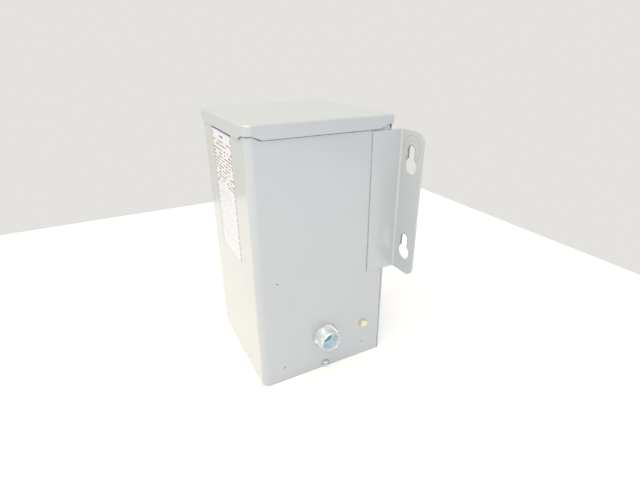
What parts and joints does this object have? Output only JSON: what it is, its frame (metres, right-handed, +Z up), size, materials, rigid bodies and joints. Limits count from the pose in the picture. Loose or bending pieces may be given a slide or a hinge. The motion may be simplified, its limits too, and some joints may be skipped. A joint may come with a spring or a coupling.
{
  "type": "dry-type transformer",
  "caption": "Closed sheet-metal box with a press-on lid, bent side brackets with keyholes for a wall, and a conduit connector low on one side.",
  "frame": {"origin": "middle of the case's base, on the plane it stands on", "axes": "+Z up, -Y out of the labelled front, +X towards the side with the conduit connector, +Y towards the wall"},
  "size_m": [0.2896, 0.2169, 0.368],
  "materials": {
    "grey_paint": "semi-gloss light grey baked paint",
    "zinc_plate": "bright zinc plate",
    "yellow_zinc": "yellow zinc plate",
    "plain_steel": "mill finish",
    "lamination_steel": "varnished laminations",
    "enamelled_wire": "enamelled wire",
    "insulation_paper": "plain",
    "potting": "matt filled resin",
    "primary_lead": "smooth",
    "secondary_lead": "smooth",
    "label_paper": "satin film"
  },
  "bodies": {
    "root": {"case_wrap": "grey_paint", "back_panel": "grey_paint", "top_lid": "grey_paint", "bottom_cover": "grey_paint", "cover_rail_right": "plain_steel", "cover_rail_left": "plain_steel", "bracket_right": "grey_paint", "bracket_left": "grey_paint", "label": "label_paper", "connector_body": "zinc_plate", "connector_locknut": "zinc_plate", "ground_screw": "yellow_zinc", "ground_nut": "yellow_zinc", "cover_screw_right": "zinc_plate", "cover_screw_left": "zinc_plate", "cover_nut_right": "plain_steel", "cover_nut_left": "plain_steel", "potting_block": "potting", "core_e_stack": "lamination_steel", "core_i_stack": "lamination_steel", "winding_tube": "insulation_paper", "primary_winding": "enamelled_wire", "winding_barrier": "insulation_paper", "secondary_winding": "enamelled_wire", "winding_wrap": "insulation_paper", "clamp_bar_front_low": "plain_steel", "clamp_bar_front_high": "plain_steel", "clamp_bar_rear_low": "plain_steel", "clamp_bar_rear_high": "plain_steel", "core_bolts": "zinc_plate", "core_nuts": "zinc_plate", "primary_lead_1": "primary_lead", "primary_lead_2": "primary_lead", "primary_lead_3": "primary_lead", "primary_lead_4": "primary_lead", "secondary_lead_1": "secondary_lead", "secondary_lead_2": "secondary_lead", "secondary_lead_3": "secondary_lead", "secondary_lead_4": "secondary_lead"}
  },
  "joints": []
}
